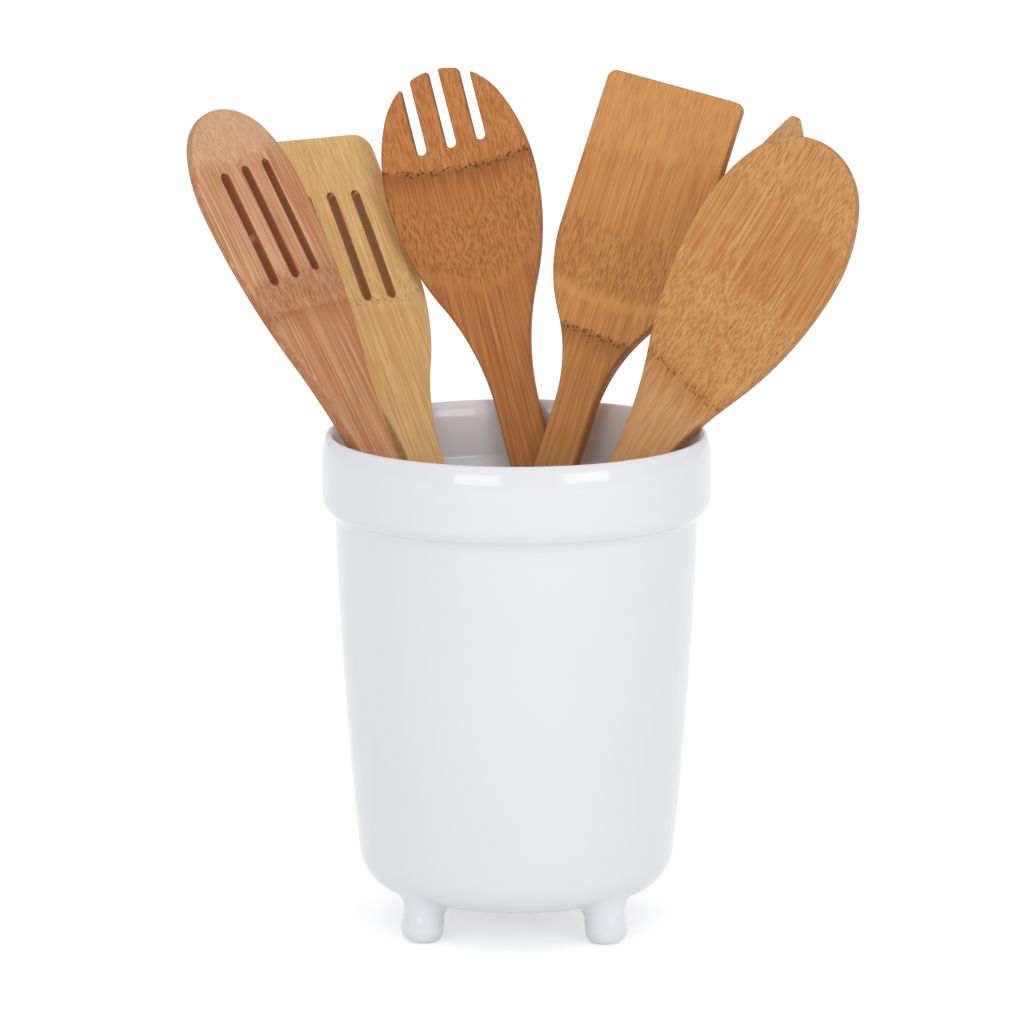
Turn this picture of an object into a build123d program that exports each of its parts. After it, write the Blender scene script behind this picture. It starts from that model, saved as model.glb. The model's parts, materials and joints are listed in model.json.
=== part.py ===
from build123d import *
from math import cos, radians, sin, sqrt
import os

# Utensil crock: a slip-cast and glazed stoneware pot on four cast feet, holding six bamboo
# kitchen tools that lean back against its lip. Millimetres, +Z up. The origin is on the pot's
# axis, at the height of the surface that its feet stand on.

# Outside of the pot, from the base up
base_radius = 43.3
base_height = 13.4
hip_radius = 57.0
hip_height = 27.0
hip_ring_count = 3
belly_radius = 63.5
belly_height = 88.8
belly_round = 1400.0
crease_radius = 65.2
crease_height = 149.0
band_foot_radius = 68.7
band_foot_height = 151.6
band_radius = 70.0
band_height = 155.0
crown_height = 171.0
shoulder_radius = 69.3
shoulder_height = 177.2
crest_radius = 67.8
crock_height = 179.7

# Inside of the pot, from the lip down
mouth_radius = 66.7
throat_radius = 65.3
throat_height = 177.5
collar_radius = 64.6
collar_height = 172.0
ledge_height = 157.1
well_radius = 60.4
well_height = 153.7
floor_radius = 51.4
floor_height = 19.5
floor_bevel = 6.0

# Feet of the pot
foot_count = 4
foot_turn = 43.5
foot_splay = 9.0
foot_circle_radius = 46.2
foot_toe_radius = 7.4
foot_sole_radius = 4.6
foot_toe_height = 7.1
foot_root_radius = 8.6
foot_root_height = 18.3

# Bamboo blanks that the tools are cut from. A tool's drop shares say how far its head lies
# behind its handle, at its widest place and above its tip, in shares of the head's thickness.
handle_width = 16.0
handle_thickness = 5.6
head_thickness = 5.0
tip_thickness = 3.6
edge_bevel = 1.0
overrun = 12.0

# How the tools stand: the heights that their shares of the pot's inside are taken at
stand_height = 21.2
lean_height = 178.0

# Slotted spoon
slotted_spoon_length = 307.9
slotted_spoon_width = 52.4
slotted_spoon_neck = 155.0
slotted_spoon_crown = 35.0
slotted_spoon_dome = 220.0
slotted_spoon_hollow_depth = 0.7
slotted_spoon_drop_shares = (-0.18, 0.34)
slotted_spoon_turn = 53.5
slotted_spoon_stand_shares = (0.464, -0.734)
slotted_spoon_lean_shares = (-0.825, -0.062)

# Slotted turner
slotted_turner_length = 296.2
slotted_turner_width = 55.4
slotted_turner_neck = 135.0
slotted_turner_shoulder = 55.0
slotted_turner_corner = 7.0
slotted_turner_drop_shares = (0.08, 0.32)
slotted_turner_turn = 44.2
slotted_turner_stand_shares = (0.385, -0.605)
slotted_turner_lean_shares = (-0.628, 0.676)

# Fork spoon
fork_spoon_length = 298.9
fork_spoon_width = 57.0
fork_spoon_neck = 130.0
fork_spoon_crown = 43.0
fork_spoon_drop_shares = (-0.20, 0.10)
fork_spoon_turn = -4.8
fork_spoon_stand_shares = (0.815, 0.237)
fork_spoon_lean_shares = (0.010, 0.935)

# Turner
turner_length = 293.2
turner_width = 57.0
turner_neck = 124.0
turner_shoulder = 59.0
turner_corner = 3.5
turner_drop_shares = (0.10, 0.16)
turner_turn = -31.0
turner_stand_shares = (-0.578, 0.339)
turner_lean_shares = (0.324, 0.736)

# Spoon
spoon_length = 302.0
spoon_width = 61.6
spoon_neck = 150.0
spoon_crown = 43.0
spoon_drop_shares = (0.44, 0.20)
spoon_turn = -32.8
spoon_stand_shares = (-0.806, 0.326)
spoon_lean_shares = (0.770, 0.158)

# Pointed spoon
pointed_spoon_length = 292.4
pointed_spoon_width = 57.0
pointed_spoon_neck = 130.0
pointed_spoon_crown = 52.0
pointed_spoon_tip_angle = 38.0
pointed_spoon_tip_round = 3.0
pointed_spoon_drop_shares = (0.20, 0.04)
pointed_spoon_turn = -67.1
pointed_spoon_stand_shares = (-0.183, -0.052)
pointed_spoon_lean_shares = (0.860, 0.396)

# Hollows in the faces of the spoons, and the slots
hollow_width = 44.0
hollow_depth = 1.7
hollow_reach = 84.0
hollow_run_shares = (-1, -0.5, 0, 0.5, 1)
slot_count = 3
slot_width = 3.9
slot_pitch = 11.4
slot_length = 44.0
slot_drop = 23.0
tine_length = 30.0


def tool_plane(stand_shares, lean_shares, turn):
    """Plane of a tool: origin at its lower end, Y up its handle and Z out of its face."""
    stand = Vector(stand_shares[0] * floor_radius, stand_shares[1] * floor_radius, stand_height)
    rest = Vector(lean_shares[0] * collar_radius, lean_shares[1] * collar_radius, lean_height)
    up = (rest - stand).normalized()
    level = Vector(up.Z, 0, -up.X).normalized()
    outward = level.cross(up)
    across = level * cos(radians(turn)) - outward * sin(radians(turn))
    return Plane(origin=stand, x_dir=across, z_dir=across.cross(up))


def side_plane(plane, reach):
    """Plane beside a tool, seen edge on: X out of its face, Y up its handle."""
    return Plane(origin=plane.origin + plane.x_dir * reach, x_dir=plane.z_dir, z_dir=-plane.x_dir)


def ease(start, start_way, end, end_way):
    """Two tangent arcs that leave start along start_way and reach end along end_way."""
    chord = Vector(*end) - Vector(*start)
    ways = Vector(*start_way) + Vector(*end_way)
    spread = 2 - 2 * Vector(*start_way).dot(Vector(*end_way))
    if spread:
        along = chord.dot(ways)
        reach = (sqrt(along**2 + spread * chord.dot(chord)) - along) / spread
    else:
        reach = chord.dot(chord) / (4 * chord.dot(Vector(*end_way)))
    meet = (Vector(*start) + Vector(*end)) / 2
    meet += (Vector(*start_way) - Vector(*end_way)) * reach / 2
    TangentArc((start, meet), tangent=start_way)
    TangentArc((end, meet), tangent=(-end_way[0], -end_way[1]))


def half_handle(neck):
    """Half of a handle's outline, from its round lower end up to the neck."""
    half = handle_width / 2
    CenterArc((0, half), half, -90, 90)
    Line((half, half), (half, neck))


def front_of_spoon(plane, length, width, neck, widest, tip_angle=0, tip_round=0):
    """A spoon seen from the front. A tip angle gives it a blunt point in place of a round tip."""
    slope = radians(tip_angle)
    tip = (tip_round * sin(slope), length - tip_round + tip_round * cos(slope))
    with BuildSketch(plane.offset(-overrun)) as face:
        with BuildLine():
            half_handle(neck)
            ease((handle_width / 2, neck), (0, 1), (width / 2, widest), (0, 1))
            ease((width / 2, widest), (0, 1), tip, (-cos(slope), sin(slope)))
            if tip_round:
                TangentArc(tip, (0, length), tangent=(-cos(slope), sin(slope)))
            mirror(about=Plane.YZ)
        make_face()
    return face.sketch


def front_of_turner(plane, length, width, neck, shoulder, corner):
    """A turner seen from the front: round handle end, neck, shoulders and rounded square top."""
    with BuildSketch(plane.offset(-overrun)) as face:
        with BuildLine():
            half_handle(neck)
            ease((handle_width / 2, neck), (0, 1), (width / 2, shoulder), (0, 1))
            Polyline((width / 2, shoulder), (width / 2, length), (0, length))
            mirror(about=Plane.YZ)
        make_face()
        fillet(face.vertices().group_by(Axis.Y)[-1], radius=corner)
    return face.sketch


def side_of_tool(plane, length, width, neck, middle, drop_shares):
    """A tool seen edge on: an even handle, then a head that thins towards its tip."""
    half = handle_thickness / 2
    head = head_thickness / 2
    tip = tip_thickness / 2
    head_drop, tip_drop = [share * head_thickness for share in drop_shares]
    top = length + overrun
    with BuildSketch(side_plane(plane, width)) as side:
        with BuildLine():
            Polyline((half, neck), (half, 0), (-half, 0), (-half, neck))
            for way in (1, -1):
                ease((way * half, neck), (0, 1), (way * head - head_drop, middle), (0, 1))
                TangentArc((way * head - head_drop, middle), (way * tip - tip_drop, top), tangent=(0, 1))
            Line((tip - tip_drop, top), (-tip - tip_drop, top))
        make_face()
    return side.sketch


def scoop_bottom(drop_shares, depth):
    """How far the lowest place of a hollow lies in front of a tool's middle plane."""
    return head_thickness / 2 - drop_shares[0] * head_thickness - depth


def scoop_round(depth):
    """Radius of a hollow across the tool, from its width and depth."""
    return (hollow_width**2 / 4 + depth**2) / (2 * depth)


def scoop_section(plane, length, drop_shares, depth):
    """Section of the hollow, turned about an axis that lies in front of the face."""
    start = length - hollow_reach
    top = length + overrun
    brink = handle_thickness / 2
    bottom = scoop_bottom(drop_shares, depth)
    axis = bottom + scoop_round(depth)
    dish = [
        (bottom + (brink - bottom) * run**2, (start + top) / 2 + run * (top - start) / 2)
        for run in hollow_run_shares
    ]
    with BuildSketch(side_plane(plane, 0)) as section:
        with BuildLine():
            Polyline(*dish, (axis, top), (axis, start), close=True)
        make_face()
    return section.sketch


def scoop_axis(plane, drop_shares, depth):
    """Axis that the section of a hollow is turned about."""
    reach = scoop_bottom(drop_shares, depth) + scoop_round(depth)
    return Axis(plane.origin + plane.z_dir * reach, plane.y_dir)


def slot_holes(plane, middle, length):
    """Slots side by side across a head, with round ends."""
    with BuildSketch(plane.offset(-overrun)) as holes:
        with Locations(*[(place, middle) for place in slot_places]):
            SlotOverall(length, slot_width, rotation=90)
    return holes.sketch


def outline_edges(tool, plane):
    """Edges that run round the face and the back of a blank."""
    square = tool.edges().filter_by(Axis(plane.origin, plane.z_dir))
    seams = tool.edges().filter_by(Axis(plane.origin, plane.x_dir))
    return tool.edges() - square - seams


os.makedirs("parts", exist_ok=True)
slot_places = [(number - (slot_count - 1) / 2) * slot_pitch for number in range(slot_count)]

hip_points = []
for ring in range(hip_ring_count + 1):
    swing = radians(90 * ring / hip_ring_count)
    hip_points.append(
        (
            base_radius + (hip_radius - base_radius) * sin(swing),
            hip_height - (hip_height - base_height) * cos(swing),
        )
    )

# The pot: its section is turned about the axis, and four splayed pegs are cast on below
with BuildPart() as crock:
    with BuildSketch(Plane.XZ):
        with BuildLine():
            Polyline((0, base_height), *hip_points)
            FilletPolyline(
                (hip_radius, hip_height),
                (belly_radius, belly_height),
                (crease_radius, crease_height),
                radius=belly_round,
            )
            Polyline(
                (crease_radius, crease_height),
                (band_foot_radius, band_foot_height),
                (band_radius, band_height),
                (band_radius, crown_height),
                (shoulder_radius, shoulder_height),
                (crest_radius, crock_height),
                (mouth_radius, crock_height),
                (throat_radius, throat_height),
                (collar_radius, collar_height),
                (collar_radius, ledge_height),
                (well_radius, well_height),
                (floor_radius, floor_height + floor_bevel),
                (floor_radius - floor_bevel, floor_height),
                (0, floor_height),
                (0, base_height),
            )
        make_face()
    revolve(axis=Axis.Z)
    for number in range(foot_count):
        angle = foot_turn + number * 360 / foot_count
        outward = Vector(cos(radians(angle)), sin(radians(angle)), 0)
        slant = outward * cos(radians(foot_splay)) + Vector(0, 0, sin(radians(foot_splay)))
        toe = Plane(
            origin=outward * foot_circle_radius + Vector(0, 0, foot_toe_height),
            x_dir=slant,
            z_dir=outward.cross(Vector(0, 0, 1)),
        )
        sole = foot_toe_height + foot_sole_radius * sin(radians(foot_splay))
        root = foot_root_height - foot_toe_height
        with BuildSketch(toe):
            with BuildLine():
                Polyline(
                    (0, -sole),
                    (foot_sole_radius, -sole),
                    (foot_toe_radius, -foot_toe_height / 2),
                    (foot_root_radius, root),
                    (0, root),
                    close=True,
                )
            make_face()
        revolve(axis=Axis(toe.origin, toe.y_dir))
    split(bisect_by=Plane.XY, keep=Keep.TOP)
crock.part.label = "crock"
export_step(crock.part, "parts/crock.step")


# Slotted spoon: it stands with its domed back to the front, and three closed slots run through it
plane = tool_plane(slotted_spoon_stand_shares, slotted_spoon_lean_shares, slotted_spoon_turn)
neck = slotted_spoon_length - slotted_spoon_neck
widest = slotted_spoon_length - slotted_spoon_crown
face = front_of_spoon(plane, slotted_spoon_length, slotted_spoon_width, neck, widest)
side = side_of_tool(
    plane, slotted_spoon_length, slotted_spoon_width, neck, widest, slotted_spoon_drop_shares
)
dome_top = head_thickness / 2 - slotted_spoon_drop_shares[0] * head_thickness
below = Plane(origin=plane.origin - plane.y_dir * overrun, x_dir=plane.x_dir, z_dir=plane.y_dir)
behind = Plane(origin=plane.origin, x_dir=-plane.x_dir, z_dir=-plane.z_dir)
behind_shares = [-share for share in slotted_spoon_drop_shares]
with BuildPart() as slotted_spoon:
    extrude(face, amount=2 * overrun)
    extrude(side, amount=2 * slotted_spoon_width, mode=Mode.INTERSECT)
    chamfer(outline_edges(slotted_spoon, plane), length=edge_bevel)
    with BuildSketch(below) as dome:
        with Locations((0, slotted_spoon_dome - dome_top)):
            Circle(slotted_spoon_dome)
    extrude(dome.sketch, amount=slotted_spoon_length + 2 * overrun, mode=Mode.INTERSECT)
    revolve(
        scoop_section(behind, slotted_spoon_length, behind_shares, slotted_spoon_hollow_depth),
        axis=scoop_axis(behind, behind_shares, slotted_spoon_hollow_depth),
        mode=Mode.SUBTRACT,
    )
    extrude(
        slot_holes(plane, slotted_spoon_length - slot_drop - slot_length / 2, slot_length),
        amount=2 * overrun,
        mode=Mode.SUBTRACT,
    )
slotted_spoon.part.label = "slotted_spoon"
export_step(slotted_spoon.part, "parts/slotted_spoon.step")

# Slotted turner: a square blade with three closed slots
plane = tool_plane(slotted_turner_stand_shares, slotted_turner_lean_shares, slotted_turner_turn)
neck = slotted_turner_length - slotted_turner_neck
shoulder = slotted_turner_length - slotted_turner_shoulder
face = front_of_turner(
    plane, slotted_turner_length, slotted_turner_width, neck, shoulder, slotted_turner_corner
)
side = side_of_tool(
    plane, slotted_turner_length, slotted_turner_width, neck, shoulder, slotted_turner_drop_shares
)
with BuildPart() as slotted_turner:
    extrude(face, amount=2 * overrun)
    extrude(side, amount=2 * slotted_turner_width, mode=Mode.INTERSECT)
    chamfer(outline_edges(slotted_turner, plane), length=edge_bevel)
    extrude(
        slot_holes(plane, slotted_turner_length - slot_drop - slot_length / 2, slot_length),
        amount=2 * overrun,
        mode=Mode.SUBTRACT,
    )
slotted_turner.part.label = "slotted_turner"
export_step(slotted_turner.part, "parts/slotted_turner.step")

# Fork spoon: three slots that run out through the tip leave four tines
plane = tool_plane(fork_spoon_stand_shares, fork_spoon_lean_shares, fork_spoon_turn)
neck = fork_spoon_length - fork_spoon_neck
widest = fork_spoon_length - fork_spoon_crown
face = front_of_spoon(plane, fork_spoon_length, fork_spoon_width, neck, widest)
side = side_of_tool(plane, fork_spoon_length, fork_spoon_width, neck, widest, fork_spoon_drop_shares)
with BuildPart() as fork_spoon:
    extrude(face, amount=2 * overrun)
    extrude(side, amount=2 * fork_spoon_width, mode=Mode.INTERSECT)
    chamfer(outline_edges(fork_spoon, plane), length=edge_bevel)
    revolve(
        scoop_section(plane, fork_spoon_length, fork_spoon_drop_shares, hollow_depth),
        axis=scoop_axis(plane, fork_spoon_drop_shares, hollow_depth),
        mode=Mode.SUBTRACT,
    )
    extrude(slot_holes(plane, fork_spoon_length, 2 * tine_length), amount=2 * overrun, mode=Mode.SUBTRACT)
fork_spoon.part.label = "fork_spoon"
export_step(fork_spoon.part, "parts/fork_spoon.step")

# Turner: a plain square blade
plane = tool_plane(turner_stand_shares, turner_lean_shares, turner_turn)
neck = turner_length - turner_neck
shoulder = turner_length - turner_shoulder
face = front_of_turner(plane, turner_length, turner_width, neck, shoulder, turner_corner)
side = side_of_tool(plane, turner_length, turner_width, neck, shoulder, turner_drop_shares)
with BuildPart() as turner:
    extrude(face, amount=2 * overrun)
    extrude(side, amount=2 * turner_width, mode=Mode.INTERSECT)
    chamfer(outline_edges(turner, plane), length=edge_bevel)
turner.part.label = "turner"
export_step(turner.part, "parts/turner.step")

# Spoon: the widest tool, hollowed over most of its head
plane = tool_plane(spoon_stand_shares, spoon_lean_shares, spoon_turn)
neck = spoon_length - spoon_neck
widest = spoon_length - spoon_crown
face = front_of_spoon(plane, spoon_length, spoon_width, neck, widest)
side = side_of_tool(plane, spoon_length, spoon_width, neck, widest, spoon_drop_shares)
with BuildPart() as spoon:
    extrude(face, amount=2 * overrun)
    extrude(side, amount=2 * spoon_width, mode=Mode.INTERSECT)
    chamfer(outline_edges(spoon, plane), length=edge_bevel)
    revolve(
        scoop_section(plane, spoon_length, spoon_drop_shares, hollow_depth),
        axis=scoop_axis(plane, spoon_drop_shares, hollow_depth),
        mode=Mode.SUBTRACT,
    )
spoon.part.label = "spoon"
export_step(spoon.part, "parts/spoon.step")

# Pointed spoon: its sides meet at a blunt tip that reaches into corners
plane = tool_plane(pointed_spoon_stand_shares, pointed_spoon_lean_shares, pointed_spoon_turn)
neck = pointed_spoon_length - pointed_spoon_neck
widest = pointed_spoon_length - pointed_spoon_crown
face = front_of_spoon(
    plane,
    pointed_spoon_length,
    pointed_spoon_width,
    neck,
    widest,
    pointed_spoon_tip_angle,
    pointed_spoon_tip_round,
)
side = side_of_tool(
    plane, pointed_spoon_length, pointed_spoon_width, neck, widest, pointed_spoon_drop_shares
)
with BuildPart() as pointed_spoon:
    extrude(face, amount=2 * overrun)
    extrude(side, amount=2 * pointed_spoon_width, mode=Mode.INTERSECT)
    chamfer(outline_edges(pointed_spoon, plane), length=edge_bevel)
    revolve(
        scoop_section(plane, pointed_spoon_length, pointed_spoon_drop_shares, hollow_depth),
        axis=scoop_axis(plane, pointed_spoon_drop_shares, hollow_depth),
        mode=Mode.SUBTRACT,
    )
pointed_spoon.part.label = "pointed_spoon"
export_step(pointed_spoon.part, "parts/pointed_spoon.step")
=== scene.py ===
import json
from math import cos, pi, radians, sin, sqrt, tau

import bmesh
import bpy
import numpy as np
from mathutils import Matrix, Vector
from mathutils.geometry import delaunay_2d_cdt


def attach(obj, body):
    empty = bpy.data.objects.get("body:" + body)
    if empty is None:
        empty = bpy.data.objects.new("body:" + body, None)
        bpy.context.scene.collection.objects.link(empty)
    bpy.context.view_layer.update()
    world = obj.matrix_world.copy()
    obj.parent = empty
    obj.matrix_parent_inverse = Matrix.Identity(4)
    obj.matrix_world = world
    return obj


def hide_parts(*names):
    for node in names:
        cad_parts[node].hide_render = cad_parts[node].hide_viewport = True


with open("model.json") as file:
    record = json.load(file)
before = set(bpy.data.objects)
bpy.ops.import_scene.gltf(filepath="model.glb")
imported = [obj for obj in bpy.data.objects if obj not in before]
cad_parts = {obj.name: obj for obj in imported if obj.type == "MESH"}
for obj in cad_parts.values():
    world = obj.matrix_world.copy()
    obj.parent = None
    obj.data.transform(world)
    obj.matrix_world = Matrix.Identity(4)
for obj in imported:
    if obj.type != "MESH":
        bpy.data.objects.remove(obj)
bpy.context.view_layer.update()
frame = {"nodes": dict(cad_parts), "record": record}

# The pot: one slip-cast stoneware body with a thick collar round its mouth, turned here from its
# section. Each round stretch of the section is a quarter of an ellipse, from its start to its end
# along the two sides of a corner.
base_radius, base_height = 0.0433, 0.0134
hip_radius, hip_height = 0.0570, 0.0270
belly_radius, belly_height, belly_run = 0.0635, 0.0888, 0.87
crease_radius, crease_height = 0.0652, 0.1488
band_radius, band_height, crown_height = 0.0700, 0.1570, 0.1700
crest_radius, crest_height = 0.0673, 0.1797
collar_radius, collar_height, ledge_height = 0.0646, 0.1720, 0.1600
well_radius, well_height = 0.0601, 0.1500
floor_radius, floor_height, floor_bevel = 0.0522, 0.0195, 0.0110
turn_steps = 288

base_middle, base_edge = (base_radius / 2, base_height), (base_radius, base_height)
hip_corner, hip = (hip_radius - 0.0012, base_height), (hip_radius, hip_height)
belly, crease = (belly_radius, belly_height), (crease_radius, crease_height)
crease_start = (crease_radius, crease_height - 0.0004)
crease_corner = (crease_radius + 0.0001, crease_height + 0.0018)
band_start = (crease_radius + 0.0019, crease_height + 0.0031)
band_corner, band_side = (band_radius - 0.0001, crease_height + 0.0050), (band_radius, band_height)
crown, crown_corner = (band_radius, crown_height), (band_radius, crest_height)
crest, collar_corner = (crest_radius, crest_height), (collar_radius, crest_height)
collar_side, ledge_start = (collar_radius, collar_height), (collar_radius, ledge_height)
ledge_corner = (collar_radius, ledge_height - 0.0026)
ledge_middle = (collar_radius - 0.0018, ledge_height - 0.0038)
well_corner, well_top = (well_radius + 0.0002, ledge_height - 0.0055), (well_radius, well_height)
well_side, well_belly = (well_radius - 0.0004, 0.140), (0.0565, 0.088)
floor_side = (floor_radius, floor_height + floor_bevel)
floor_corner, floor_edge = (floor_radius - 0.0010, floor_height), (floor_radius - 0.0092, floor_height)
floor_middle = (floor_radius * 0.4, floor_height)


def between(start, end, share):
    """Point at a share of the way from start to end."""
    return tuple(a + (b - a) * share for a, b in zip(start, end))


def bend(start, corner, end, steps):
    """Quarter of an ellipse from start to end that leaves and arrives along the corner's two sides."""
    start, corner, end = np.array(start), np.array(corner), np.array(end)
    swing = np.linspace(0, pi / 2, steps + 1)[:, None]
    return start + (corner - start) * np.sin(swing) + (end - corner) * (1 - np.cos(swing))


outside = np.vstack(
    [
        [(0.0, base_height), base_middle],
        bend(base_edge, hip_corner, hip, steps=16),
        bend(between(belly, hip, belly_run), belly, between(belly, crease, belly_run), steps=24),
        bend(crease_start, crease_corner, band_start, steps=8),
        bend(band_start, band_corner, band_side, steps=10),
        bend(crown, crown_corner, crest, steps=18),
    ]
)
inside = np.vstack(
    [
        bend(crest, collar_corner, collar_side, steps=14)[1:],
        bend(ledge_start, ledge_corner, ledge_middle, steps=6),
        bend(ledge_middle, well_corner, well_top, steps=8),
        bend(well_side, well_belly, floor_side, steps=14),
        bend(floor_side, floor_corner, floor_edge, steps=10),
        [floor_middle, (0.0, floor_height)],
    ]
)


def turned(section, steps):
    """Corners and faces of a section of (radius, height) points turned about the upright axis."""
    corners, faces, rings = [], [], []
    for radius, height in section:
        if radius == 0:
            rings.append([len(corners)] * steps)
            corners.append((0.0, 0.0, height))
            continue
        rings.append(list(range(len(corners), len(corners) + steps)))
        for step in range(steps):
            angle = tau * step / steps
            corners.append((radius * cos(angle), radius * sin(angle), height))
    for low, high in zip(rings, rings[1:]):
        for step in range(steps):
            after = (step + 1) % steps
            face = [low[step], low[after], high[after], high[step]]
            faces.append(list(dict.fromkeys(face)))
    return corners, faces


pot_corners, pot_faces = turned(np.vstack([outside, inside]), turn_steps)

# The four feet: stoneware pegs cast in one with the pot, splayed a little outwards. Each swells out
# at its root and runs into the base without a seam.
foot_count, foot_turn, foot_splay = 4, radians(43.5), radians(9)
foot_circle, foot_height = 0.0462, 0.0071
foot_sole, foot_toe, foot_neck = 0.0042, 0.0076, 0.0073
toe_top, toe_shoulder, neck_top = 0.0046, 0.00644, 0.0098
flare_reach, flare_beyond, flare_pull = 0.0118, 1.1, 1.1
foot_steps, flare_rings = 56, 12

foot_root = foot_circle - (base_height - foot_height) * sin(foot_splay)
foot_section = np.vstack(
    [
        [(0.0, 0.0), (foot_sole / 2, 0.0)],
        bend((foot_sole, 0.0), (foot_toe, 0.0), (foot_toe, toe_top), steps=10),
        bend((foot_toe, toe_top), (foot_toe, toe_shoulder), (foot_neck, neck_top), steps=6)[1:],
    ]
)
skin_lengths = np.concatenate([[0], np.cumsum(np.hypot(*np.diff(outside, axis=0).T))])


def skin_point(reach, swing, angle):
    """Point of the pot's outer skin, at a reach and a swing round the root of the foot at an angle."""
    outward = foot_root + reach * cos(swing)
    radius = np.interp(outward, skin_lengths, outside[:, 0])
    height = np.interp(outward, skin_lengths, outside[:, 1])
    turn = angle + reach * sin(swing) / radius
    return Vector((radius * cos(turn), radius * sin(turn), height))


def swept(start, leave, end, arrive, run):
    """Point at a share, run, of the smooth curve that leaves start one way and arrives at end another."""
    return (
        start * (2 * run**3 - 3 * run**2 + 1)
        + leave * (run**3 - 2 * run**2 + run)
        + end * (3 * run**2 - 2 * run**3)
        + arrive * (run**3 - run**2)
    )


def foot_rings(angle):
    """Rings of points of the foot at this angle, from the middle of its sole to the edge of its flare."""
    outward = Vector((cos(angle), sin(angle), 0))
    sideways = Vector((-sin(angle), cos(angle), 0))
    axis = Vector((0, 0, cos(foot_splay))) - outward * sin(foot_splay)
    slant = outward * cos(foot_splay) + Vector((0, 0, sin(foot_splay)))
    toe = outward * foot_circle + Vector((0, 0, foot_height)) - axis * (foot_height / cos(foot_splay))
    swings = [tau * step / foot_steps for step in range(foot_steps)]
    rings = []
    for radius, height in foot_section:
        ring = [toe + axis * height + (slant * cos(a) + sideways * sin(a)) * radius for a in swings]
        for place in ring:
            place.z = max(place.z, 0.0)
        rings.append(ring)
    neck_ring = rings[-1]
    for flare in range(1, flare_rings + 1):
        ring = []
        for swing, neck in zip(swings, neck_ring):
            edge = skin_point(flare_reach, swing, angle)
            beyond = skin_point(flare_beyond * flare_reach, swing, angle)
            leave = axis * (edge - neck).length * flare_pull
            arrive = (beyond - edge).normalized() * (edge - neck).length * flare_pull
            ring.append(swept(neck, leave, edge, arrive, flare / flare_rings))
        rings.append(ring)
    return rings


for number in range(foot_count):
    rings = foot_rings(foot_turn + tau * number / foot_count)
    first = len(pot_corners)
    pot_corners += [tuple(place) for ring in rings for place in ring]
    for row in range(len(rings) - 1):
        low, high = first + row * foot_steps, first + (row + 1) * foot_steps
        for step in range(foot_steps):
            after = (step + 1) % foot_steps
            pot_faces.append([low + step, low + after, high + after, high + step])


# The glaze: the fired pot and its feet are one piece, dipped whole in a cool white gloss glaze, inside
# and out. It lies a little unevenly on the clay and has a few pinholes.
def piece_from(name, corners, faces):
    """Smooth-shaded mesh object of these corners and faces, with doubled corners welded."""
    mesh = bpy.data.meshes.new(name)
    mesh.from_pydata([tuple(corner) for corner in corners], [], faces)
    work = bmesh.new()
    work.from_mesh(mesh)
    bmesh.ops.remove_doubles(work, verts=work.verts, dist=1e-6)
    bmesh.ops.recalc_face_normals(work, faces=work.faces)
    work.to_mesh(mesh)
    work.free()
    mesh.polygons.foreach_set("use_smooth", [True] * len(mesh.polygons))
    piece = bpy.data.objects.new(name, mesh)
    bpy.context.scene.collection.objects.link(piece)
    return piece


def paint(red, green, blue):
    """Linear colour of an 8-bit screen colour."""
    shares = [value / 255 for value in (red, green, blue)]
    return tuple(s / 12.92 if s < 0.04045 else ((s + 0.055) / 1.055) ** 2.4 for s in shares) + (1.0,)


def add(tree, kind, sockets=None, **settings):
    """New shader node with its settings, and a value or a link for each socket named."""
    made = tree.nodes.new(kind)
    for key, value in settings.items():
        setattr(made, key, value)
    for key, value in (sockets or {}).items():
        if isinstance(value, bpy.types.NodeSocket):
            tree.links.new(value, made.inputs[key])
        else:
            made.inputs[key].default_value = value
    return made


def mixed(tree, share, first, second):
    """Colour socket that mixes two colours by a share."""
    return add(tree, "ShaderNodeMix", {0: share, 6: first, 7: second}, data_type="RGBA").outputs[2]


def sums(tree, operation, first, second=0.0):
    """Value socket of one sum of two values."""
    return add(tree, "ShaderNodeMath", {0: first, 1: second}, operation=operation).outputs[0]


def ranged(tree, value, low, high, start=0.0, end=1.0, smooth=True):
    """Value socket that goes from start to end as value goes from low to high."""
    way = "SMOOTHSTEP" if smooth else "LINEAR"
    sockets = {0: value, 1: low, 2: high, 3: start, 4: end}
    return add(tree, "ShaderNodeMapRange", sockets, interpolation_type=way).outputs[0]


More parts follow.
